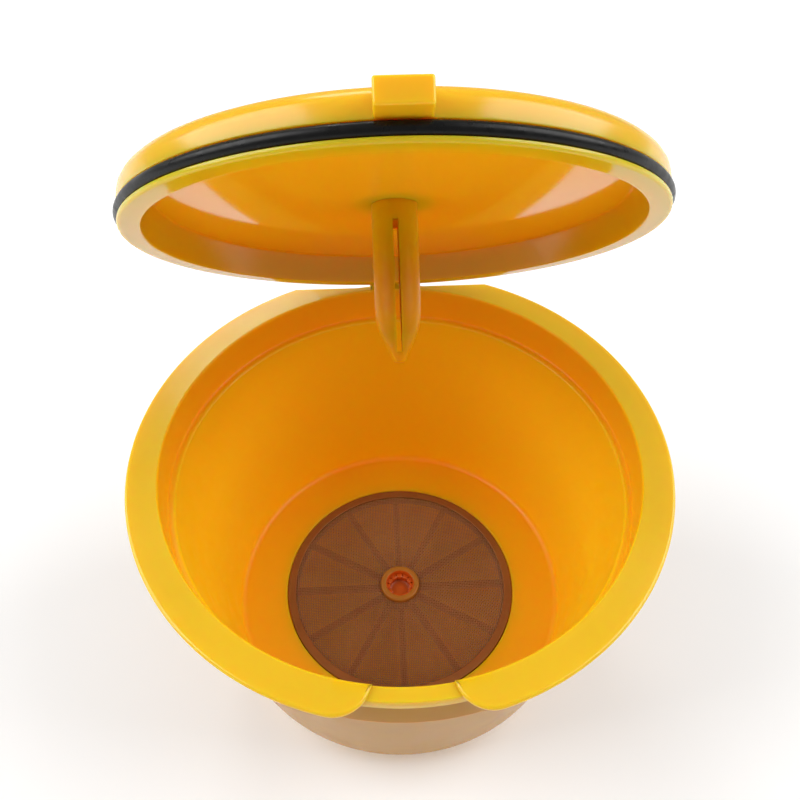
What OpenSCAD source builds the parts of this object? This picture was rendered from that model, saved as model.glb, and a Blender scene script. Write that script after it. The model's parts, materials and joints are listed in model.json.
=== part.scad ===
// Refillable coffee capsule: a drained filter cup with a plug lid on a living hinge.
// Origin: centre of the foot ring, on the surface that the capsule stands on.
// +Z runs up through the cup, +Y points to the hinge and -Y to the finger tab. Millimetres.
// The lid is drawn part open, which is where its hinge strap holds it.

/* [Cup] */
// Height of the rim above the foot
rim_h = 33; // [33:0.5:36]
// Outer diameter of the flange
flange_d = 54; // [53.5:0.1:55]
// Thickness of the flange
flange_t = 1.2; // [1:0.1:1.5]
// Diameter of the bore that the lid plugs into
bore_d = 47.7; // [47.6:0.05:47.9]
// Depth of that bore, down to the ledge
bore_depth = 4.4; // [4:0.1:5]
// Width of the ledge below the bore
ledge_w = 0.75; // [0.5:0.05:1]
// Depth of the floor below the rim
floor_depth = 28.4; // [27:0.1:28.6]
// Diameter of the floor where the wall meets it
floor_d = 39.6; // [38:0.2:40.4]
// Thickness of the wall and of the floor
wall = 1.2; // [1:0.1:1.3]
// Diameter of the drain well under the floor
well_d = 30.8; // [30.4:0.2:32]
// Diameter of the outlet hole
outlet_d = 2.5; // [2:0.1:3]

/* [Flange cut-outs] */
// Width of the front notch at the bore
notch_w = 6.7; // [6:0.1:8]
// How far the wall's top lies below the flange in the notch
notch_drop = 0.4; // [0.3:0.05:0.6]
// Distance from the cup's axis to the straight back edge of the flange
back_flat_y = 24.5; // [24.5:0.05:24.8]

/* [Filter] */
// Diameter of the filter disc
filter_d = 28.3; // [27:0.1:28.3]
// Thickness of the woven mesh
mesh_t = 0.3; // [0.2:0.05:0.3]
// Width of the mesh's edge band
edge_band_w = 1; // [0.8:0.1:1.2]
// Number of spokes under the mesh
spoke_count = 12; // [8:1:16]
// Width of a spoke
spoke_w = 0.7; // [0.5:0.1:1]
// Diameter of the hub in the middle of the filter
hub_d = 4.9; // [4.5:0.1:5.2]

/* [Lid] */
// Diameter of the lid
lid_d = 47; // [46.8:0.05:47.1]
// How far the edge of the lid stands above the rim when it is closed
lid_rise = 1.05; // [1:0.05:1.2]
// Height of the lid's edge, from its top corner to the end of the plug
lid_edge_h = 2.8; // [2.7:0.1:3]
// Diameter of the seal's cord
seal_cord = 1.0; // [0.9:0.05:1]
// How far the finger tab stands out
tab_out = 2.1; // [1.8:0.1:2.4]
// Width of the finger tab
tab_w = 3.7; // [3.4:0.1:4.4]
// Angle by which the lid stands open
lid_open = 51.5; // [45:0.5:75]

/* [Needle guide] */
// Outer diameter of the guide tube
guide_d = 4.1; // [3.8:0.1:4.4]
// Bore for the machine's needle
needle_bore_d = 2.4; // [2:0.1:2.6]
// Distance from the lid's edge plane to the tip of the guide
guide_reach = 14.05; // [12:0.05:18]
// Width of the slit across the tube
slit_w = 0.5; // [0.3:0.05:0.8]

/* [Hidden] */
$fn = 96;
eps = 0.01;
arc_steps = 6;

yellow = [0.94, 0.72, 0.09];
clear_yellow = [0.9, 0.6, 0.15];
brown = [0.5, 0.29, 0.09];
bronze = [0.52, 0.33, 0.16];
dark_bronze = [0.36, 0.22, 0.08];
black = [0.08, 0.08, 0.09];

// Cup
flange_r = flange_d / 2;
bore_r = bore_d / 2;
floor_r = floor_d / 2;
floor_z = rim_h - floor_depth;
floor_under_z = floor_z - wall;
ledge_z = rim_h - bore_depth;
ledge_r = bore_r - ledge_w;
band_r = bore_r + 1.45;              // upper part of the outer wall, around the bore
band_drop = 0.4;                     // how far the band reaches below the ledge
body_top_r = ledge_r + wall;
body_corner_r = 2;                   // round corner under the floor
body_corner_x = floor_r - 0.9;
flange_edge = 0.3;                   // rounding of the flange's outer edge
rim_edge = 0.2;                      // rounding of the bore's mouth
ledge_edge = 0.1;
body_draft = 8;                      // angle of the outer wall where it leaves the corner
floor_fillet_r = 0.15;
floor_fillet_z = 0.5;
well_r = well_d / 2;
well_draft = 0.4;
well_floor_top = 1.5;
well_floor_under = 0.5;
chamber_r = 13;
seat_r = 14.25;                      // pocket that takes the filter
seat_z = floor_z - 1.4;
foot_in_r = 12.8;
foot_draft = 0.3;
foot_edge = 0.4;
outlet_boss_r = 3.4;
lip_r = flange_r - bore_r;           // the flange's ends beside the notch are rounded by their width
notch_draft = 0.15;                  // slope of the wall's outside in the notch
notch_half_angle = asin(notch_w / 2 / bore_r);
lip_angle = notch_half_angle + lip_r / bore_r * 180 / PI;

// Filter, stacked up in the pocket: grid, mesh, edge band
filter_r = filter_d / 2;
band_t = 0.25;
mesh_top = floor_z - band_t;
mesh_under = mesh_top - mesh_t;
hub_top = floor_z + 0.25;
hub_under = seat_z - 1;
hub_recess_r = 1.7;
hub_recess_z = hub_under + 0.7;
grid_rim_w = 1.15;

// Lid, in its closed place: depth() turns a depth below the lid's edge plane into a height
lid_r = lid_d / 2;
lid_z = rim_h + lid_rise;
lid_top_rise = 1.2;
lid_shoulder = 1.6;
recess_out_r = 21.7;
recess_in_r = 20.8;
recess_top = -0.1;
recess_edge = 0.2;
plug_edge = 0.25;
panel_r = 19.4;                      // sunk panel in the lid's top
panel_drop = 0.3;
groove_top = 1.33;
groove_h = seal_cord + 0.04;
seal_out_r = lid_r + 0.25;
groove_r = seal_out_r - seal_cord - eps;
guide_head_r = 3.45;
guide_head_t = 0.5;
guide_head_gap = 0.05;
guide_lead = 0.3;                    // funnel at the mouth of the needle bore
guide_head_top = -lid_top_rise;
guide_taper = 3.4;
guide_tip_r = 0.45;
guide_r = guide_d / 2;
bore_end = guide_reach - 2;
slit_start = 1.6;
slit_end = guide_reach - 0.9;

// Hinge: the strap bends about a line just behind the flange
hinge_y = back_flat_y + 1.8;
hinge_z = rim_h - 0.7;
hinge_w = 5;
lug_root = 0.3;                      // how far the cup's lug starts inside the flange
cup_lug_y = back_flat_y + 1.1;
lid_lug_y = back_flat_y + 0.9;
lid_lug_top = -0.2;
lid_lug_under = 0.9;
lid_lug_edge = 0.15;
tab_top = -0.45;
tab_edge = 0.25;
strap_t = 0.45;
strap_pull = 0.9;                    // how far the strap runs straight out of each lug
strap_steps = 10;

function depth(d) = lid_z - d;
function arc(c, r, from, to, n = arc_steps) =
    [for (i = [0:n]) let (a = from + (to - from) * i / n) c + r * [cos(a), sin(a)]];

// Turns a point (y, z) of the closed lid about the hinge to its open place
function opened_point(p) = let (v = p - [hinge_y, hinge_z])
    [hinge_y + v.x * cos(lid_open) + v.y * sin(lid_open),
     hinge_z - v.x * sin(lid_open) + v.y * cos(lid_open)];

module opened() {
    translate([0, hinge_y, hinge_z])
        rotate([-lid_open, 0, 0])
            translate([0, -hinge_y, -hinge_z])
                children();
}

// A block of width w across X with the outline pts in (y, z)
module side_profile(pts, w) {
    rotate([90, 0, 90])
        translate([0, 0, -w / 2])
            linear_extrude(height = w)
                polygon(pts);
}

// Half section of the cup's wall, floor and drain well
function cup_section() = concat(
    [[foot_in_r, 0], [well_r - well_draft - foot_edge, 0]],
    [[well_r - well_draft, foot_edge], [well_r, floor_under_z]],
    arc([body_corner_x, floor_under_z + body_corner_r], body_corner_r, -90, -body_draft),
    [[body_top_r, ledge_z - wall], [band_r, ledge_z - band_drop], [band_r, rim_h - flange_t]],
    [[flange_r - flange_edge, rim_h - flange_t]],
    arc([flange_r - flange_edge, rim_h - flange_edge], flange_edge, 0, 90, 4),
    arc([bore_r + rim_edge, rim_h - rim_edge], rim_edge, 90, 180, 4),
    [[bore_r, ledge_z + rim_edge], [bore_r - rim_edge, ledge_z]],
    [[ledge_r + ledge_edge, ledge_z], [ledge_r, ledge_z - ledge_edge]],
    [[floor_r + floor_fillet_r, floor_z + floor_fillet_z], [floor_r, floor_z + floor_fillet_r]],
    [[floor_r - floor_fillet_r, floor_z], [seat_r, floor_z], [seat_r, seat_z], [chamber_r, seat_z]],
    [[chamber_r, well_floor_top], [0, well_floor_top], [0, well_floor_under]],
    [[foot_in_r - foot_draft, well_floor_under]]
);

// Plan of the gap between the flange's two rounded ends
module notch_plan() {
    difference() {
        polygon(flange_d * [[0, 0], [-tan(lip_angle), -1], [tan(lip_angle), -1]]);
        circle(r = bore_r - eps);
        for (s = [-1, 1])
            rotate([0, 0, s * lip_angle])
                translate([0, -bore_r])
                    circle(r = lip_r);
    }
}

module cup() color(yellow) {
    difference() {
        union() {
            rotate_extrude() polygon(cup_section());
            cylinder(r = outlet_boss_r, h = well_floor_top);
        }
        translate([0, 0, -eps])
            cylinder(d = outlet_d, h = well_floor_top + 2 * eps);
        // notch: right through the flange, and a step down in the wall's top
        difference() {
            translate([0, 0, rim_h - flange_t - eps])
                linear_extrude(height = flange_t + 2 * eps)
                    notch_plan();
            translate([0, 0, rim_h - flange_t - eps])
                cylinder(r1 = band_r, r2 = band_r - notch_draft, h = flange_t - notch_drop + eps);
        }
        // straight back edge
        translate([-flange_r, back_flat_y, 0])
            cube([flange_d, flange_r, rim_h + eps]);
    }
    // hinge lug
    translate([-hinge_w / 2, back_flat_y - lug_root, rim_h - flange_t])
        cube([hinge_w, cup_lug_y - back_flat_y + lug_root, flange_t]);
}

module filter_grid() color(brown) {
    difference() {
        union() {
            translate([0, 0, seat_z])
                difference() {
                    cylinder(r = filter_r, h = mesh_under - seat_z);
                    translate([0, 0, -eps])
                        cylinder(r = filter_r - grid_rim_w, h = mesh_under - seat_z + 2 * eps);
                }
            for (i = [0:spoke_count - 1])
                rotate([0, 0, i * 360 / spoke_count + 90])
                    translate([0, -spoke_w / 2, seat_z])
                        cube([filter_r - grid_rim_w / 2, spoke_w, mesh_under - seat_z]);
            translate([0, 0, hub_under])
                cylinder(d = hub_d, h = hub_top - hub_under);
        }
        translate([0, 0, hub_recess_z])
            cylinder(r = hub_recess_r, h = hub_top);
    }
}

module ring(outer_r, inner_r, z, h) {
    difference() {
        translate([0, 0, z]) cylinder(r = outer_r, h = h);
        translate([0, 0, z - eps]) cylinder(r = inner_r, h = h + 2 * eps);
    }
}

module filter_mesh() color(bronze) {
    ring(filter_r, hub_d / 2 + 2 * eps, mesh_under, mesh_t);
}

module mesh_ring() color(dark_bronze) {
    ring(filter_r, filter_r - edge_band_w, mesh_top, band_t);
}

// Half section of the closed lid
function lid_section() = concat(
    [[0, depth(panel_drop - lid_top_rise)], [panel_r - panel_drop, depth(panel_drop - lid_top_rise)]],
    [[panel_r, depth(-lid_top_rise)]],
    arc([lid_r - lid_shoulder, depth(-lid_top_rise + lid_shoulder)], lid_shoulder, 90, 0),
    [[lid_r, depth(groove_top)], [groove_r, depth(groove_top)]],
    [[groove_r, depth(groove_top + groove_h)], [lid_r, depth(groove_top + groove_h)]],
    [[lid_r, depth(lid_edge_h - plug_edge)], [lid_r - plug_edge, depth(lid_edge_h)]],
    [[recess_out_r, depth(lid_edge_h)], [recess_in_r, depth(recess_top + recess_edge)]],
    [[recess_in_r - recess_edge, depth(recess_top)], [0, depth(recess_top)]]
);

// A lug or tab from y0 out to y1 between two depths, with a rounded end
function lug_outline(y0, y1, top, under, edge) = concat(
    [[y0, depth(under)]],
    arc([y1 - edge, depth(under - edge)], edge, -90, 0, 3),
    arc([y1 - edge, depth(top + edge)], edge, 0, 90, 3),
    [[y0, depth(top)]]
);

module lid() color(yellow) {
    opened() {
        difference() {
            rotate_extrude() polygon(lid_section());
            translate([0, 0, depth(lid_edge_h)])
                cylinder(r = guide_r + eps, h = lid_edge_h + lid_top_rise + 1);
            translate([0, 0, depth(guide_head_top + guide_head_t)])
                cylinder(r = guide_head_r + guide_head_gap, h = guide_head_t + 1);
        }
        mirror([0, 1, 0])
            side_profile(lug_outline(groove_r, lid_r + tab_out, tab_top, groove_top, tab_edge), tab_w);
        side_profile(lug_outline(groove_r, lid_lug_y, lid_lug_top, lid_lug_under, lid_lug_edge), hinge_w);
    }
}

module needle_guide() color(clear_yellow) {
    opened()
        difference() {
            union() {
                translate([0, 0, depth(guide_head_top + guide_head_t)])
                    cylinder(r = guide_head_r, h = guide_head_t);
                translate([0, 0, depth(guide_reach - guide_taper)])
                    cylinder(r = guide_r, h = guide_reach - guide_taper - guide_head_top - guide_head_t / 2);
                translate([0, 0, depth(guide_reach)])
                    cylinder(r1 = guide_tip_r, r2 = guide_r, h = guide_taper);
            }
            translate([0, 0, depth(bore_end)])
                cylinder(d = needle_bore_d, h = bore_end + 1);
            translate([0, 0, depth(guide_head_top + guide_lead)])
                cylinder(d1 = needle_bore_d, d2 = needle_bore_d + 2 * guide_lead, h = guide_lead + eps);
            translate([-slit_w / 2, -guide_r - 1, depth(slit_end)])
                cube([slit_w, guide_d + 2, slit_end - slit_start]);
        }
}

module o_ring() color(black) {
    opened()
        translate([0, 0, depth(groove_top + groove_h / 2)])
            rotate_extrude()
                translate([seal_out_r - seal_cord / 2, 0])
                    circle(d = seal_cord, $fn = 32);
}

// Middle line of the strap: a cubic curve from the cup's lug to the lid's lug
strap_from = [cup_lug_y, rim_h - flange_t / 2];
strap_to = opened_point([lid_lug_y, depth((lid_lug_top + lid_lug_under) / 2)]);
lid_lug_dir = [cos(lid_open), -sin(lid_open)];
function bezier(t) =
    pow(1 - t, 3) * strap_from + 3 * pow(1 - t, 2) * t * (strap_from + strap_pull * [1, 0])
    + 3 * (1 - t) * t * t * (strap_to + strap_pull * lid_lug_dir) + pow(t, 3) * strap_to;
function bezier_dir(t) = let (d = bezier(min(t + 0.01, 1)) - bezier(max(t - 0.01, 0))) d / norm(d);
function strap_side(s) = [for (i = [0:strap_steps])
    let (t = i / strap_steps, d = i == 0 ? [1, 0] : i == strap_steps ? -lid_lug_dir : bezier_dir(t))
    bezier(t) + s * strap_t / 2 * [-d.y, d.x]];

module hinge_strap() color(yellow) {
    outer = strap_side(-1);
    inner = strap_side(1);
    side_profile(concat(outer, [for (i = [strap_steps:-1:0]) inner[i]]), hinge_w);
}

cup();
filter_grid();
filter_mesh();
mesh_ring();
lid();
needle_guide();
o_ring();
hinge_strap();
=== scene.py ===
import json
import math

import bmesh
import bpy
from mathutils import Matrix, Vector


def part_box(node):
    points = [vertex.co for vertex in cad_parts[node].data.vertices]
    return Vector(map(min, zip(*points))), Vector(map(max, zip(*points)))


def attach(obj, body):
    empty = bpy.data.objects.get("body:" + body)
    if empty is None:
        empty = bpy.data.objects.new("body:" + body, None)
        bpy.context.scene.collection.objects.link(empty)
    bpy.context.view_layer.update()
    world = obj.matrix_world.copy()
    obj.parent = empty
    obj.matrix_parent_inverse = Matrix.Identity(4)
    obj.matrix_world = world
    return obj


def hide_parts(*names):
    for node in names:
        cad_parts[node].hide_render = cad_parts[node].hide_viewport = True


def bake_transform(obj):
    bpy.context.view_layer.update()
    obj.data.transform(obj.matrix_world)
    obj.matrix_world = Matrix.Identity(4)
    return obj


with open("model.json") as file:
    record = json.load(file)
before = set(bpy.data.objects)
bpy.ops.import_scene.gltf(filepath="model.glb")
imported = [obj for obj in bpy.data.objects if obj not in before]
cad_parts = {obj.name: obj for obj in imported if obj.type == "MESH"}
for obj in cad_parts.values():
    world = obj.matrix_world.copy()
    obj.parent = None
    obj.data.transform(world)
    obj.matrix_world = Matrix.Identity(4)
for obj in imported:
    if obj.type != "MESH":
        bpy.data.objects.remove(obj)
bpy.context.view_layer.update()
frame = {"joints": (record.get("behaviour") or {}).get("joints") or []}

# An open refillable coffee capsule. Meshes are built in millimetres in the frame's own axes, with the
# lid closed, and are then turned about the hinge and scaled to metres.
MM = 0.001
joint = frame["joints"][0]


def box_mm(node):
    """Lowest and highest corner of a CAD node, in millimetres."""
    low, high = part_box(node)
    return low / MM, high / MM


# ---------------------------------------------------------------- sizes
cup_high = box_mm("cup")[1]
mesh_low, mesh_high = box_mm("filter_mesh")
grid_low, grid_high = box_mm("filter_grid")
band_low, band_high = box_mm("mesh_ring")

# Cup: body_top, body_corner, seat and chamber are corners of its outline, as (radius, height)
rim_h = cup_high.z
flange_r = cup_high.x
flange_t = 1.2
bore_r = 23.85
bore_depth = 4.4
ledge_w = 0.75
wall = 1.2
floor_z = band_high.z
floor_r = 19.88
floor_under = floor_z - wall
ledge_z = rim_h - bore_depth
ledge_r = bore_r - ledge_w
band_r = bore_r + 1.45
band_bottom = ledge_z - 0.4
band_draft = 0.15
band_draft_h = 0.6
body_top = (ledge_r + wall, ledge_z - wall)
body_corner = (20.65, floor_under)
seat = (14.25, floor_z - 1.4)
chamber = (13.0, 1.5)
well_under = 0.5
foot_in_r = 12.8
foot_in_draft = 0.3
foot_out_r = 15.0
foot_out_draft = 0.2
well_r = 15.4
outlet_r = 1.25
outlet_boss_r = 3.4
notch_drop = 0.4
notch_half = math.asin(3.35 / bore_r)   # half of the notch, as an angle
lip_r = flange_r - bore_r
back_flat = 24.5
lug_half_w = 2.5
lug_corner = 0.3
cup_lug_y = 25.6
ledge_fillet = 0.34
floor_fillet = 0.9
wall_fillet = 2.0
flange_edge = 0.3
mouth_edge = 0.2
mouth_proud = 0.01

# Filter
filter_r = mesh_high.x
hub_r = 2.45
hub_recess_r = 1.7
hub_recess_draft = 0.15
hub_web = 0.7
grid_rim_w = 1.15
spoke_count = 12
spoke_w = 0.7
spoke_from = 1.2
spoke_to = filter_r - 0.6
mesh_band_w = 1
mesh_band_top = band_high.z - 0.02
cloth_r = filter_r - 0.25
cloth_hole_r = hub_r - 0.1
cloth_sag = 0.16
sag_from_hub = 6                # how far from the hub, and from the edge, the sag is full
sag_from_edge = 2
wire_pitch = 0.22
wire_r = 0.056

# Lid, closed: a depth is measured down from the edge plane
lid_z = rim_h + 1.05
lid_r = 23.5
lid_edge_h = 2.8
lid_top = -1.2
lid_shoulder = 1.6
panel_r = 19.4
panel_drop = 0.3
recess_out_r = 21.7
recess_in_r = 20.8
recess_top = -0.1
groove_top = 1.33
groove_h = 1.04
seal_cord = 1.0
seal_out_r = lid_r + 0.25
groove_r = seal_out_r - seal_cord - 0.01
tab_half_w = 1.85
tab_out = 2.1
tab_top = -0.45
lid_lug_y = 25.4
lid_lug_top = -0.2
lid_lug_under = 0.9
root_in = 0.3                   # how far the tab and the lug reach into the lid

# Needle guide
guide_r = 2.05
needle_r = 1.2
needle_mouth = 0.3
guide_reach = 14.05
needle_end = guide_reach - 2
guide_taper = 3.4
guide_tip_r = 0.45
guide_shoulder = 6
guide_head_r = 3.45
guide_head_t = 0.5
guide_hole_r = guide_r + 0.01
head_seat_r = guide_head_r + 0.05
slit_w = 0.5
slit_from = 1.6
slit_to = 13.15

# Hinge
hinge = Vector(joint["pos_m"]) / MM
lid_open = math.radians(-joint["range_deg"][0])
strap_t = 0.45
strap_half_w = lug_half_w - 0.05
strap_pull = 0.9                # length of the handles of the strap's curve
strap_root = 0.25               # how far the strap reaches into each lug

ROUND = 288                     # segments in a full turn
SHARP = math.radians(32)        # edges that turn more than this stay crisp
DOUBLED = 0.0004                # points nearer than this are one point


# ---------------------------------------------------------------- outlines
def rounded(corners, steps=5):
    """A closed outline: each corner (x, y, radius) becomes an arc of that radius, or a point if it is 0."""
    out = []
    for i, (x, y, r) in enumerate(corners):
        p = Vector((x, y))
        if r <= 0:
            out.append((x, y))
            continue
        to_last = (Vector(corners[i - 1][:2]) - p).normalized()
        to_next = (Vector(corners[(i + 1) % len(corners)][:2]) - p).normalized()
        half = to_last.angle(to_next) / 2
        centre = p + (to_last + to_next).normalized() * r / math.sin(half)
        first = p + to_last * r / math.tan(half) - centre
        last = p + to_next * r / math.tan(half) - centre
        turn = first.angle_signed(last)
        for k in range(steps + 1):
            q = first.copy()
            q.rotate(Matrix.Rotation(-turn * k / steps, 2))
            out.append(tuple(centre + q))
    return out


def line(start, end, steps):
    """Points of a straight line, its ends included."""
    return [tuple(Vector(start).lerp(Vector(end), k / steps)) for k in range(steps + 1)]


def arc(radius, start, end, steps, centre=(0, 0)):
    """Points of an arc, angles in radians."""
    span = (end - start) / steps
    return [(centre[0] + radius * math.cos(start + span * k),
             centre[1] + radius * math.sin(start + span * k)) for k in range(steps + 1)]


# ---------------------------------------------------------------- mesh builders
def lathe(outline, segments=ROUND):
    """A closed outline in (radius, height), turned about Z. Points on the axis become one vertex."""
    bm = bmesh.new()
    rings = []
    for r, z in outline:
        if r < 1e-6:
            rings.append([bm.verts.new((0, 0, z))] * segments)
        else:
            turn = [2 * math.pi * k / segments for k in range(segments)]
            rings.append([bm.verts.new((r * math.cos(a), r * math.sin(a), z)) for a in turn])
    for i, ring in enumerate(rings):
        after = rings[(i + 1) % len(rings)]
        for k in range(segments):
            j = (k + 1) % segments
            corners = list(dict.fromkeys((ring[k], ring[j], after[j], after[k])))
            if len(corners) > 2:
                bm.faces.new(corners)
    bmesh.ops.recalc_face_normals(bm, faces=bm.faces)
    return bm


def inset_outline(points, insets):
    """Moves each side of a counter-clockwise outline inwards by its own distance."""
    out = []
    for i, p in enumerate(points):
        a, b, c = Vector(points[i - 1]), Vector(p), Vector(points[(i + 1) % len(points)])
        u, v = (b - a).normalized(), (c - b).normalized()
        n1, n2 = Vector((u.y, -u.x)), Vector((v.y, -v.x))
        d1, d2 = insets[i - 1], insets[i]
        cosine = n1.dot(n2)
        rest = 1 - cosine * cosine
        if rest < 1e-4:
            out.append(b - (d1 * n1 + d2 * n2) / 2)
        else:
            out.append(b + n1 * (cosine * d2 - d1) / rest + n2 * (cosine * d1 - d2) / rest)
    return out


def band_slab(outer, inner, levels):
    """A curved band with closed ends, from two rows of points that face each other and meet at both ends.
    levels are (height, inset of the outer side, inset of the inner side)."""
    points = outer + inner[-2:0:-1]
    bm = bmesh.new()
    loops = []
    for z, out_inset, in_inset in levels:
        insets = [out_inset] * (len(outer) - 1) + [in_inset] * (len(inner) - 1)
        loops.append([bm.verts.new((p.x, p.y, z)) for p in inset_outline(points, insets)])
    for low, high in zip(loops, loops[1:]):
        for k in range(len(points)):
            j = (k + 1) % len(points)
            bm.faces.new((low[k], low[j], high[j], high[k]))
    for loop in (loops[0], loops[-1]):
        facing = [loop[0]] + loop[:len(outer) - 1:-1] + [loop[len(outer) - 1]]
        for k in range(len(outer) - 1):
            bm.faces.new(list(dict.fromkeys((loop[k], loop[k + 1], facing[k + 1], facing[k]))))
    bmesh.ops.recalc_face_normals(bm, faces=bm.faces)
    return bm


def block(low, high, edge, segments=3):
    """A block between two corners with rounded edges."""
    bm = bmesh.new()
    bmesh.ops.create_cube(bm, size=1)
    low, high = Vector(low), Vector(high)
    for v in bm.verts:
        v.co = (low + high) / 2 + Vector(c * s for c, s in zip(v.co, high - low))
    if edge > 0:
        bmesh.ops.bevel(bm, geom=list(bm.edges), offset=edge, segments=segments, affect="EDGES",
                        profile=0.5)
    return bm


def extruded_x(outline, half_w, edge):
    """An outline in (y, z) drawn out to both sides along X, with rounded rims."""
    bm = bmesh.new()
    face = bm.faces.new([bm.verts.new((-half_w, y, z)) for y, z in outline])
    extruded = bmesh.ops.extrude_face_region(bm, geom=[face])["geom"]
    moved = [v for v in extruded if isinstance(v, bmesh.types.BMVert)]
    bmesh.ops.translate(bm, vec=(2 * half_w, 0, 0), verts=moved)
    bmesh.ops.recalc_face_normals(bm, faces=bm.faces)
    rims = [e for e in bm.edges if abs(e.verts[0].co.x - e.verts[1].co.x) < 1e-6]
    bmesh.ops.bevel(bm, geom=rims, offset=edge, segments=2, affect="EDGES", profile=0.5)
    return bm


def plain_object(bm, name):
    """Puts a bmesh into the scene as an object."""
    mesh = bpy.data.meshes.new(name)
    bm.to_mesh(mesh)
    bm.free()
    obj = bpy.data.objects.new(name, mesh)
    bpy.context.scene.collection.objects.link(obj)
    return obj


def combine(base, operation, *others):
    """Boolean of bmeshes: UNION or DIFFERENCE, one after the other."""
    for other in others:
        a = plain_object(base, "base")
        b = plain_object(other, "tool")
        step = a.modifiers.new("boolean", "BOOLEAN")
        step.operation = operation
        step.object = b
        step.solver = "MANIFOLD"
        bpy.context.view_layer.update()
        graph = bpy.context.evaluated_depsgraph_get()
        base = bmesh.new()
        base.from_mesh(a.evaluated_get(graph).to_mesh())
        for o in (a, b):
            mesh = o.data
            bpy.data.objects.remove(o)
            bpy.data.meshes.remove(mesh)
    return base


# From the closed lid to the photo's open one, and the direction that the open lid's underside looks in.
OPENED = Matrix.Translation(hinge) @ Matrix.Rotation(-lid_open, 4, "X") @ Matrix.Translation(-hinge)
LID_DOWN = Vector((0, -math.sin(lid_open), -math.cos(lid_open)))


def depth(d):
    """Height of a point of the closed lid, from its depth below the edge plane."""
    return lid_z - d


def finished(bm, name, body, material, node, opened=False, clean=True):
    """Turns a bmesh in millimetres into a piece that rides on its body and stands for its CAD node.
    A piece with no body is left unattached. clean merges doubled points and evens the
    shading, and opened turns a closed lid's piece to the photo's open position."""
    if clean:
        bmesh.ops.remove_doubles(bm, verts=bm.verts, dist=DOUBLED)
        bmesh.ops.dissolve_degenerate(bm, edges=bm.edges, dist=DOUBLED)
    if opened:
        bm.transform(OPENED)
    bm.transform(Matrix.Scale(MM, 4))
    for f in bm.faces:
        f.smooth = True
    for e in bm.edges:
        e.smooth = not (e.is_manifold and e.calc_face_angle(0) > SHARP)
    obj = plain_object(bm, name)
    obj.data.materials.append(material)
    if clean:
        normals = obj.modifiers.new("normals", "WEIGHTED_NORMAL")
        normals.keep_sharp = True
        normals.weight = 80
    if body:
        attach(obj, body)
    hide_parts(node)
    return obj


# ---------------------------------------------------------------- materials
def shader(name, **values):
    """A material, its node tree and its Principled shader, with that shader's sockets set."""
    material = bpy.data.materials.new(name)
    material.use_nodes = True
    tree = material.node_tree
    principled = tree.nodes["Principled BSDF"]
    for socket, value in values.items():
        principled.inputs[socket.replace("_", " ")].default_value = value
    return material, tree, principled


def add(tree, kind, inputs=(), **settings):
    """Adds a node. inputs are (socket, value or socket to link from)."""
    node = tree.nodes.new(kind)
    for name, value in settings.items():
        setattr(node, name, value)
    for socket, value in inputs:
        if isinstance(value, bpy.types.NodeSocket):
            tree.links.new(value, node.inputs[socket])
        else:
            node.inputs[socket].default_value = value
    return node


def noise(tree, scale, detail=3.0, rough=0.5, stretch=(1, 1, 1)):
    """Noise in the object's own metres: scale is how many features there are in a metre. The first call
    in a material makes the node that says where a point is."""
    place = tree.nodes.get("place") or add(tree, "ShaderNodeTexCoord", name="place")
    mapped = add(tree, "ShaderNodeMapping", [("Vector", place.outputs["Object"]), ("Scale", stretch)])
    return add(tree, "ShaderNodeTexNoise", [("Vector", mapped.outputs[0]), ("Scale", scale),
                                            ("Detail", detail), ("Roughness", rough)]).outputs["Fac"]


def ramp(tree, factor, low, high, from_low=0.35, from_high=0.65):
    """Goes from low to high as the factor goes from from_low to from_high, and stays level beyond them."""
    return add(tree, "ShaderNodeMapRange", [("Value", factor), ("From Min", from_low),
                                            ("From Max", from_high), ("To Min", low),
                                            ("To Max", high)]).outputs["Result"]


def mix_colour(tree, factor, a, b):
    """Colour a where the factor is 0 and b where it is 1."""
    return add(tree, "ShaderNodeMix", [("Factor", factor), (6, a), (7, b)], data_type="RGBA").outputs[2]


def bump(tree, principled, layers):
    """Stacks bumps: layers are (height pattern, how deep in metres)."""
    below = None
    for height, how_deep in layers:
        inputs = [("Height", height), ("Distance", how_deep), ("Strength", 1.0)]
        if below:
            inputs.append(("Normal", below))
        below = add(tree, "ShaderNodeBump", inputs).outputs["Normal"]
    tree.links.new(below, principled.inputs["Normal"])


def maths(tree, operation, a, b):
    """One sum on two numbers."""
    return add(tree, "ShaderNodeMath", [(0, a), (1, b)], operation=operation).outputs[0]


def from_axis(tree):
    """The direction straight out from the Z axis, as long as the distance to it, in metres."""
    point = tree.nodes["place"].outputs["Object"]
    return add(tree, "ShaderNodeVectorMath", [(0, point), (1, (1, 1, 0))], operation="MULTIPLY").outputs[0]


def dot(tree, a, b):
    """The dot product of two directions."""
    return add(tree, "ShaderNodeVectorMath", [(0, a), (1, b)], operation="DOT_PRODUCT").outputs["Value"]


# How far the cup's faces look outwards, in metres, where its painted shade outside and painted glow inside
# begin and are full.
OUTER_SHADE_SPAN = (0.004, 0.012)
INNER_GLOW_SPAN = (-0.02, -0.004)


def up_to(tree, height, level, soft):
    """1 below a level and 0 above it, with a soft step that starts at the level. Both are in millimetres."""
    return ramp(tree, height, 1, 0, level * MM, (level + soft) * MM)


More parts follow.
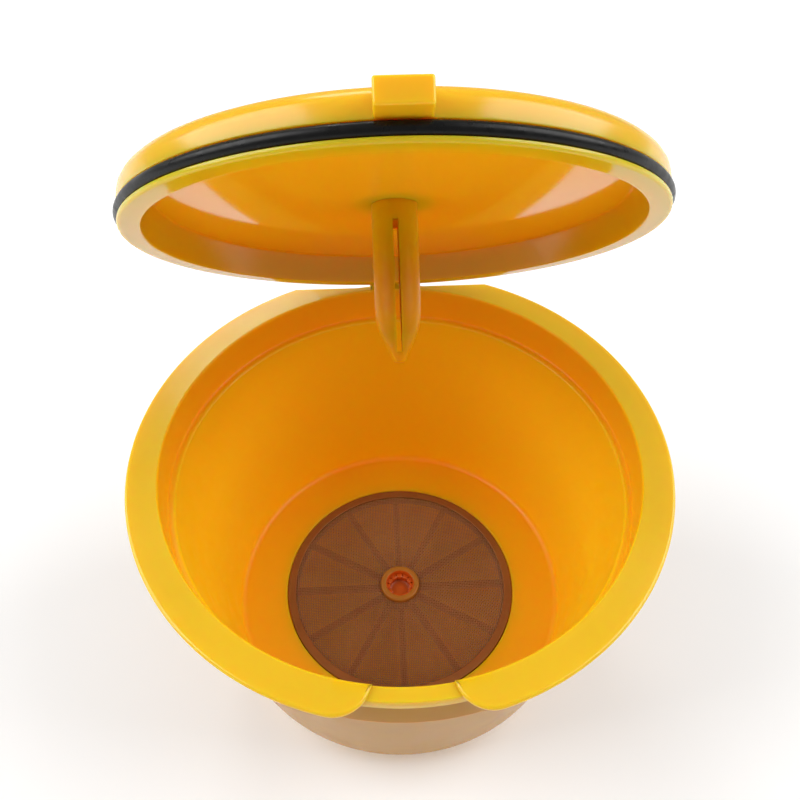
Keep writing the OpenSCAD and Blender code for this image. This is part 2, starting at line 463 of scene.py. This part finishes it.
def cup_painted_light_and_shade(tree, principled, colour, inside, outside):
    """Paints light and shade on the cup: a brighter, oranger painted glow inside the cup, made deeper with
    painted shade in its bore and on its floor, and a dark brown painted shade on the wall's outer side under
    the flange, where the specular level is lowered too. Gives back the colour and where the inside is.
    outwards is about the radius in metres on the outer wall, 0 on level faces, and less than 0 on the inner
    wall."""
    place = tree.nodes["place"]
    height = add(tree, "ShaderNodeSeparateXYZ", [("Vector", place.outputs["Object"])]).outputs["Z"]
    outwards = dot(tree, from_axis(tree), place.outputs["Normal"])
    level_or_inner = ramp(tree, outwards, 1, 0, *OUTER_SHADE_SPAN)
    outer = ramp(tree, outwards, 0, 1, *OUTER_SHADE_SPAN)
    inner = ramp(tree, outwards, 1, 0, *INNER_GLOW_SPAN)
    below_bore = up_to(tree, height, ledge_z, 0.4)
    under_flange = up_to(tree, height, rim_h - flange_t - 0.2, 0.2)
    on_floor = up_to(tree, height, floor_z + 0.1, 0.6)
    in_bore = ramp(tree, height, 0, 1, (ledge_z - 0.4) * MM, (ledge_z + 0.5) * MM)
    inner_side = maths(tree, "MULTIPLY", maths(tree, "MAXIMUM", inner, below_bore), level_or_inner)
    outer_side = maths(tree, "MULTIPLY", outer, under_flange)
    red, green, blue = inside
    # Painted shade: a deeper orange in the bore and on the floor, within the painted glow of the inside.
    deeper = (red * 0.98, green * 0.84, blue, 1)
    within = mix_colour(tree, maths(tree, "MAXIMUM", on_floor, in_bore), (*inside, 1), deeper)
    inner_glow_painted = mix_colour(tree, inner_side, colour, within)
    # The outer wall under the flange gets painted shade in the outside colour, and a lower specular level.
    tree.links.new(ramp(tree, outer_side, 0.5, 0.05, 0, 1), principled.inputs["Specular IOR Level"])
    return mix_colour(tree, outer_side, inner_glow_painted, (*outside, 1)), inner_side


def moulded_plastic(name, deep, light, rough=(0.17, 0.23), scatter=1, inside=None, outside=None,
                    centre=None, polished=None):
    """Satin moulded polypropylene that light soaks into: cloudy colour, flow marks and a fine mould grain.
    inside is the colour of the cup's painted glow inside, made deeper with painted shade in its bore and on
    its floor, and outside is the painted shade of its outer wall; its inside has a softer gloss too.
    centre is the colour of the painted shade in the hub's recess. polished is the direction that the
    polished faces look in."""
    material, tree, principled = shader(name, IOR=1.45, Subsurface_Weight=scatter, Subsurface_Scale=0.002,
                                        Subsurface_Radius=(1.0, 0.45, 0.05))
    cloud = ramp(tree, noise(tree, 90, 4), 0, 1)
    colour = mix_colour(tree, cloud, (*deep, 1), (*light, 1))
    gloss = ramp(tree, noise(tree, 350, 3), *rough)
    if inside:
        colour, inner_side = cup_painted_light_and_shade(tree, principled, colour, inside, outside)
        gloss = maths(tree, "MULTIPLY", gloss, ramp(tree, inner_side, 1, 1.8, 0, 1))
    if centre:
        # Painted shade: the hub's recess takes the centre colour.
        off_axis = add(tree, "ShaderNodeVectorMath", [(0, from_axis(tree))],
                       operation="LENGTH").outputs["Value"]
        colour = mix_colour(tree, up_to(tree, off_axis, hub_recess_r, 0.1), colour, (*centre, 1))
    if polished:
        facing = dot(tree, tree.nodes["place"].outputs["Normal"], polished)
        gloss = maths(tree, "MULTIPLY", gloss, ramp(tree, facing, 1, 0.35, 0.95, 0.98))
    tree.links.new(colour, principled.inputs["Base Color"])
    tree.links.new(gloss, principled.inputs["Roughness"])
    flow_marks = noise(tree, 60, 1)
    grain = noise(tree, 5000, 2, 0.6)
    bump(tree, principled, [(flow_marks, 0.00001), (grain, 0.0000004)])
    return material


def amber_plastic():
    """The guide's amber plastic, cloudy, with drawn marks along it, and painted lighter where it meets the
    lid: a painted glow of the light that comes through the lid.
    """
    material, tree, principled = shader("amber_plastic", IOR=1.2, Transmission_Weight=0.1,
                                        Subsurface_Weight=1, Subsurface_Scale=0.003,
                                        Subsurface_Radius=(1.0, 0.5, 0.05))
    cloud = ramp(tree, noise(tree, 260, 3), 0, 1)
    colour = mix_colour(tree, cloud, (0.84, 0.29, 0.002, 1), (0.87, 0.32, 0.002, 1))
    # Painted glow: a lighter colour near the root, where the guide meets the lid.
    root = (OPENED @ Vector((0, 0, depth(recess_top)))).dot(LID_DOWN)
    along = dot(tree, tree.nodes["place"].outputs["Object"], LID_DOWN)
    root_glow_painted = up_to(tree, along, root + 2, 5)
    colour = mix_colour(tree, root_glow_painted, colour, (0.98, 0.46, 0.003, 1))
    tree.links.new(colour, principled.inputs["Base Color"])
    tree.links.new(ramp(tree, noise(tree, 900, 4), 0.3, 0.4), principled.inputs["Roughness"])
    drawn_marks = noise(tree, 500, 2, 0.5, (1, 0.3, 0.3))
    bump(tree, principled, [(drawn_marks, 0.000004)])
    return material


def steel_painted_brown(name, dark, light, rough, grain):
    """Fine steel coloured brown: painted reflection of the orange cup round it and painted shade in the cup.
    """
    material, tree, principled = shader(name, Metallic=0.55, IOR=1.5)
    mottle = ramp(tree, noise(tree, 130, 4, 0.6), 0, 1)
    tree.links.new(mix_colour(tree, mottle, (*dark, 1), (*light, 1)), principled.inputs["Base Color"])
    tree.links.new(ramp(tree, noise(tree, 1500, 3), *rough), principled.inputs["Roughness"])
    bump(tree, principled, [(noise(tree, grain, 2), 0.000005)])
    return material


def seal_rubber():
    """Black silicone rubber with a soft bloom and a fine skin."""
    material, tree, principled = shader("black_rubber", IOR=1.3)
    bloom = ramp(tree, noise(tree, 400, 4), 0, 1)
    tree.links.new(mix_colour(tree, bloom, (0.003, 0.003, 0.003, 1), (0.006, 0.006, 0.006, 1)),
                   principled.inputs["Base Color"])
    tree.links.new(ramp(tree, noise(tree, 1200, 4), 0.25, 0.42), principled.inputs["Roughness"])
    bump(tree, principled, [(noise(tree, 3500, 3), 0.000008)])
    return material


def pale_floor():
    """A matt white floor with a faint cloudiness."""
    material, tree, principled = shader("pale_floor", Roughness=0.6)
    cloud = ramp(tree, noise(tree, 6, 2), 0, 1)
    tree.links.new(mix_colour(tree, cloud, (0.94, 0.94, 0.94, 1), (0.97, 0.97, 0.97, 1)),
                   principled.inputs["Base Color"])
    return material


YELLOW = moulded_plastic("yellow_plastic", (0.73, 0.465, 0.010), (0.75, 0.48, 0.011))
# The cup's plastic, with a painted glow inside, painted shade in its bore and on its floor, and painted
# shade on its outer wall.
CUP_PAINTED_LIGHT_AND_SHADE = moulded_plastic("yellow_plastic_painted_light_and_shade", (0.71, 0.48, 0.010), (0.73, 0.495, 0.011),
                        inside=(0.99, 0.62, 0.009), outside=(0.43, 0.195, 0.008))
POLISHED = moulded_plastic("polished_yellow_plastic", (0.79, 0.465, 0.008), (0.81, 0.48, 0.009),
                           polished=LID_DOWN)
# The filter grid is the cup's yellow plastic under the mesh: its brown is painted shade, and centre is
# painted shade in the hub's recess.
GRID_PAINTED_SHADE = moulded_plastic("brown_plastic", (0.34, 0.155, 0.025), (0.38, 0.175, 0.03), rough=(0.3, 0.4),
                        scatter=0.1, centre=(0.62, 0.12, 0.012))
AMBER = amber_plastic()
# The brown of the wires and the band is painted reflection of the orange cup and painted shade.
WIRE = steel_painted_brown("woven_steel", (0.45, 0.275, 0.18), (0.52, 0.325, 0.22), (0.4, 0.5), 9000)
BAND = steel_painted_brown("band_steel", (0.25, 0.12, 0.05), (0.31, 0.15, 0.06), (0.35, 0.45), 6000)
RUBBER = seal_rubber()


# ---------------------------------------------------------------- pieces
def cup_shell():
    """Everything of the cup that is round: drain well, wall, band and bore, up to the notch's level."""
    top = rim_h - notch_drop
    foot = [(outlet_r, 0, 0.15), (outlet_boss_r, 0, 0.2), (outlet_boss_r, well_under, 0.15),
            (foot_in_r - foot_in_draft, well_under, 0.15), (foot_in_r, 0, 0.15),
            (foot_out_r - foot_out_draft, 0, 0.4)]
    outer = [(well_r, floor_under, 0.5), (*body_corner, wall_fillet), (*body_top, 0.4),
             (band_r, band_bottom, 0.3), (band_r, top - band_draft_h, 0), (band_r - band_draft, top, 0.15)]
    inner = [(bore_r, top, 0.12), (bore_r, ledge_z, ledge_fillet), (ledge_r, ledge_z, ledge_fillet),
             (floor_r, floor_z, floor_fillet)]
    filter_well = [(seat[0], floor_z, 0.1), (*seat, 0.1), (chamber[0], seat[1], 0.1), (*chamber, 0.4),
                   (outlet_r, chamber[1], 0.2)]
    return lathe(rounded(foot + outer + inner + filter_well))


def flange():
    """The C-shaped flange: rounded ends beside the notch, a straight back edge and the hinge lug."""
    half_chord = math.asin(lip_r / 2 / bore_r)
    lip_angle = notch_half + 2 * half_chord
    right, left = -math.pi / 2 + lip_angle, 1.5 * math.pi - lip_angle
    flat = math.asin(back_flat / flange_r)
    right_lip = (bore_r * math.cos(right), bore_r * math.sin(right))
    left_lip = (bore_r * math.cos(left), bore_r * math.sin(left))
    flat_x = flange_r * math.cos(flat)
    corner_x = lug_half_w - lug_corner
    corner_y = cup_lug_y - lug_corner
    outer = (arc(lip_r, right - math.pi / 2 - half_chord, right, 28, right_lip)
             + arc(flange_r, right, flat, 120)[1:]
             + line((flat_x, back_flat), (lug_half_w, back_flat), 30)[1:]
             + arc(lug_corner, 0, math.pi / 2, 4, (corner_x, corner_y))
             + line((corner_x, cup_lug_y), (-corner_x, cup_lug_y), 12)[1:-1]
             + arc(lug_corner, math.pi / 2, math.pi, 4, (-corner_x, corner_y))
             + line((-lug_half_w, back_flat), (-flat_x, back_flat), 30)
             + arc(flange_r, math.pi - flat, left, 120)[1:]
             + arc(lip_r, left, left + math.pi / 2 + half_chord, 28, left_lip)[1:])
    inner = [tuple(Vector(p).normalized() * bore_r) for p in outer]
    # The underside is bevelled and the top edges are round. The inner side stands a little proud of the bore
    # in the shell, so that no two faces of the union lie in one plane.
    low = rim_h - flange_t
    levels = [(low, 0.38, 0.5), (low + 0.08, 0.28, 0.35), (low + 0.35, 0.18, -mouth_proud)]
    for k in range(7):
        a = math.pi / 2 * k / 6
        height = rim_h - flange_edge * (1 - math.sin(a))
        mouth_inset = mouth_edge * (1 - math.cos(a)) - mouth_proud
        levels.append((height, flange_edge * (1 - math.cos(a)), mouth_inset))
    return band_slab(outer, inner, levels)


def make_cup():
    """The cup: its round shell and its flange, as one piece."""
    body = combine(cup_shell(), "UNION", flange())
    return finished(body, "cup_body", "cup", CUP_PAINTED_LIGHT_AND_SHADE, "cup")


def make_filter_grid():
    """Rim, spokes and hub under the mesh."""
    top = mesh_low.z
    low = seat[1]
    spokes = []
    for k in range(spoke_count):
        bar = block((spoke_from, -spoke_w / 2, low), (spoke_to, spoke_w / 2, top), 0.1, 2)
        bar.transform(Matrix.Rotation(math.pi / 2 + 2 * math.pi * k / spoke_count, 4, "Z"))
        spokes.append(bar)
    rim_inner = filter_r - grid_rim_w
    rim = lathe(rounded([(rim_inner, low, 0.1), (filter_r, low, 0.1), (filter_r, top, 0.1),
                         (rim_inner, top, 0.1)], 3))
    recess_z = grid_low.z + hub_web
    hub = lathe(rounded([(0, grid_low.z, 0), (hub_r, grid_low.z, 0.15), (hub_r, grid_high.z, 0.25),
                         (hub_recess_r, grid_high.z, 0.2), (hub_recess_r - hub_recess_draft, recess_z, 0.6),
                         (0, recess_z, 0)]), 96)
    ribs = combine(rim, "UNION", *spokes, hub)
    return finished(ribs, "filter_grid_ribs", "cup", GRID_PAINTED_SHADE, "filter_grid")


def mesh_sag(x, y):
    """How far the cloth sinks between two spokes."""
    r = math.hypot(x, y)
    between = math.sin(spoke_count / 2 * math.atan2(y, x)) ** 2
    from_hub = min(1, max(0, (r - hub_r) / sag_from_hub))
    from_edge = min(1, (filter_r - r) / sag_from_edge)
    return cloth_sag * between * from_hub * from_edge


def wire(points, verts, faces):
    """Adds a four-sided wire along points to a list of vertices and faces."""
    start = len(verts)
    for i, p in enumerate(points):
        along = (points[min(i + 1, len(points) - 1)] - points[max(i - 1, 0)]).normalized()
        side = along.cross(Vector((0, 0, 1))).normalized() * wire_r
        up = side.cross(along)
        verts.extend((p + side, p + up, p - side, p - up))
        if i:
            a = start + 4 * (i - 1)
            b = a + 4
            faces.extend((a + k, a + (k + 1) % 4, b + (k + 1) % 4, b + k) for k in range(4))
    faces.append((start + 3, start + 2, start + 1, start))
    end = len(verts) - 4
    faces.append((end, end + 1, end + 2, end + 3))


def make_filter_mesh():
    """Plain-woven wire cloth: two sets of wires that pass over and under each other at every crossing."""
    verts, faces = [], []
    rows = int(cloth_r / wire_pitch)
    mid = (mesh_low.z + mesh_high.z) / 2
    for turned in (0, 1):
        for row in range(-rows, rows + 1):
            half = int(math.sqrt(cloth_r ** 2 - (row * wire_pitch) ** 2) / wire_pitch)
            run = []
            for step in range(-half, half + 1):
                over = 1 if (row + step + turned) % 2 else -1
                x, y = (row, step) if turned else (step, row)
                x, y = x * wire_pitch, y * wire_pitch
                in_hole = math.hypot(x, y) <= cloth_hole_r
                if not in_hole:
                    run.append(Vector((x, y, mid + over * wire_r - mesh_sag(x, y))))
                if run and (in_hole or step == half):
                    wire(run, verts, faces)
                    run = []
    mesh = bpy.data.meshes.new("cloth")
    mesh.from_pydata(verts, [], faces)
    bm = bmesh.new()
    bm.from_mesh(mesh)
    bpy.data.meshes.remove(mesh)
    return finished(bm, "woven_filter_mesh", "cup", WIRE, "filter_mesh", clean=False)


def make_mesh_band():
    """The pressed band round the mesh's edge."""
    inner = filter_r - mesh_band_w
    band = lathe(rounded([(inner, band_low.z, 0.03), (filter_r, band_low.z, 0.05),
                          (filter_r, mesh_band_top, 0.08), (inner, mesh_band_top, 0.1)], 4))
    return finished(band, "mesh_edge_band", "cup", BAND, "mesh_ring")


def make_lid():
    """The plug lid: a flat plate with a shouldered top, a seal groove and a skirt round its recess."""
    top = depth(lid_top)
    panel = depth(lid_top + panel_drop)
    head_under = depth(lid_top + guide_head_t)
    groove_high = depth(groove_top)
    groove_low = depth(groove_top + groove_h)
    edge = depth(lid_edge_h)
    recess = depth(recess_top)
    upper = [(guide_hole_r, head_under, 0), (head_seat_r, head_under, 0), (head_seat_r, panel, 0.08),
             (panel_r - panel_drop, panel, 0.2), (panel_r, top, 0.15), (lid_r, top, lid_shoulder)]
    side = [(lid_r, groove_high, 0.1), (groove_r, groove_high, 0.05), (groove_r, groove_low, 0.05),
            (lid_r, groove_low, 0.08), (lid_r, edge, 0.25)]
    underside = [(recess_out_r, edge, 0.15), (recess_in_r, recess, 0.25), (guide_hole_r, recess, 0)]
    tab = block((-tab_half_w, -lid_r - tab_out, groove_high),
                (tab_half_w, -groove_r + root_in, depth(tab_top)), 0.18)
    lug = block((-lug_half_w, groove_r - root_in, depth(lid_lug_under)),
                (lug_half_w, lid_lug_y, depth(lid_lug_top)), 0.15)
    plug = combine(lathe(rounded(upper + side + underside)), "UNION", tab, lug)
    return finished(plug, "lid_plug", "lid", POLISHED, "lid", opened=True)


def make_needle_guide():
    """The slotted tube that the machine's needle enters, with its flanged head."""
    top = depth(lid_top)
    tip = depth(guide_reach)
    end = depth(needle_end)
    head_under = top - guide_head_t
    shoulder = depth(guide_reach - guide_taper)
    outer = [(0, tip, 0), (guide_tip_r, tip, 0.3), (guide_r, shoulder, guide_shoulder),
             (guide_r, head_under, 0), (guide_head_r, head_under, 0.05), (guide_head_r, top, 0.15)]
    inner = [(needle_r + needle_mouth, top, 0.05), (needle_r, top - needle_mouth, 0.1),
             (needle_r, end, 0.6), (0, end, 0)]
    slit = block((-slit_w / 2, -guide_r - 1, depth(slit_to)),
                 (slit_w / 2, guide_r + 1, depth(slit_from)), 0)
    tube = combine(lathe(rounded(outer + inner, 4), 120), "DIFFERENCE", slit)
    return finished(tube, "slotted_needle_guide", "lid", AMBER, "needle_guide",
                    opened=True)


def make_o_ring():
    """The round cord of the seal, in the middle of the lid's groove."""
    cord_r = seal_cord / 2
    centre = (seal_out_r - cord_r, depth(groove_top + groove_h / 2))
    circle = arc(cord_r, 0, 2 * math.pi * 31 / 32, 31, centre)
    return finished(lathe(circle), "seal_o_ring", "lid", RUBBER, "o_ring", opened=True)


def make_hinge_strap():
    """The living hinge: a thin web on a smooth curve, in (y, z), from the cup's lug to the lid's lug."""
    start = Vector((cup_lug_y, rim_h - flange_t / 2))
    end = OPENED @ Vector((0, lid_lug_y, depth((lid_lug_top + lid_lug_under) / 2)))
    end = Vector((end.y, end.z))
    out_of_lid = Vector((math.cos(lid_open), -math.sin(lid_open)))
    pull_a = start + Vector((strap_pull, 0))
    pull_b = end + out_of_lid * strap_pull
    middle, normals = [], []
    steps = 20
    # p and d are the point and the direction of a cubic curve at t.
    for k in range(-1, steps + 2):
        t = min(1, max(0, k / steps))
        u = 1 - t
        p = u ** 3 * start + 3 * u * u * t * pull_a + 3 * u * t * t * pull_b + t ** 3 * end
        d = 3 * u * u * (pull_a - start) + 6 * u * t * (pull_b - pull_a) + 3 * t * t * (end - pull_b)
        d.normalize()
        past_end = -1 if k < 0 else 1 if k > steps else 0
        middle.append(p + d * past_end * strap_root)
        normals.append(Vector((-d.y, d.x)))
    over = [p + n * strap_t / 2 for p, n in zip(middle, normals)]
    under = [p - n * strap_t / 2 for p, n in zip(middle, normals)]
    web = extruded_x([tuple(p) for p in over + under[::-1]], strap_half_w, 0.1)
    strap = finished(web, "living_hinge_web", None, YELLOW, "hinge_strap")
    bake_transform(strap)
    return strap


make_cup()
make_filter_grid()
make_filter_mesh()
make_mesh_band()
make_lid()
make_needle_guide()
make_o_ring()
make_hinge_strap()


# ---------------------------------------------------------------- stage, light and camera
FLOOR_HALF = 2.5
AIM = Vector((0, 0, 0.03))


def make_floor():
    """The floor that everything stands on."""
    bm = bmesh.new()
    bmesh.ops.create_grid(bm, x_segments=8, y_segments=8, size=FLOOR_HALF)
    floor = plain_object(bm, "floor")
    floor.data.materials.append(pale_floor())


def direction(azimuth, elevation):
    """From the object towards a place: an azimuth of 0 is the front, and both angles are in radians."""
    return Vector((math.sin(azimuth) * math.cos(elevation), -math.cos(azimuth) * math.cos(elevation),
                   math.sin(elevation)))


def soft_light(name, place, size, power):
    """A square softbox that looks at AIM. place is its azimuth and elevation in degrees, and distance."""
    azimuth, elevation, distance = place
    back = direction(math.radians(azimuth), math.radians(elevation))
    light = bpy.data.lights.new(name, "AREA")
    light.size = size
    light.energy = power
    obj = bpy.data.objects.new(name, light)
    obj.location = AIM + back * distance
    obj.rotation_euler = (-back).to_track_quat("-Z", "Y").to_euler()
    bpy.context.scene.collection.objects.link(obj)


def make_world(strength):
    """White light from all round."""
    world = bpy.data.worlds.new("studio")
    world.use_nodes = True
    background = world.node_tree.nodes["Background"]
    background.inputs["Color"].default_value = (1, 1, 1, 1)
    background.inputs["Strength"].default_value = strength
    bpy.context.scene.world = world


def make_camera(azimuth=-0.046, elevation=0.923, distance=0.080, tilt=0.061, lens=35.86):
    """The camera looks from in front and above. Its axis is tilted up from the middle of the rim."""
    rim = Vector((0, 0, rim_h * MM))
    forward = -direction(azimuth, elevation - tilt)
    data = bpy.data.cameras.new("camera")
    data.lens = lens
    data.sensor_width = 36
    data.clip_start = 0.005
    data.clip_end = 20
    camera = bpy.data.objects.new("camera", data)
    camera.location = rim + direction(azimuth, elevation) * distance
    camera.rotation_euler = forward.to_track_quat("-Z", "Y").to_euler()
    bpy.context.scene.collection.objects.link(camera)
    bpy.context.scene.camera = camera


make_floor()
make_world(0.35)
soft_light("left", (-95, 40, 0.5), 0.4, 2.15)
soft_light("right", (95, 40, 0.5), 0.4, 2.05)
soft_light("back", (-167, 42, 0.6), 0.14, 0.3)
make_camera()
bpy.context.scene.view_settings.view_transform = "Standard"
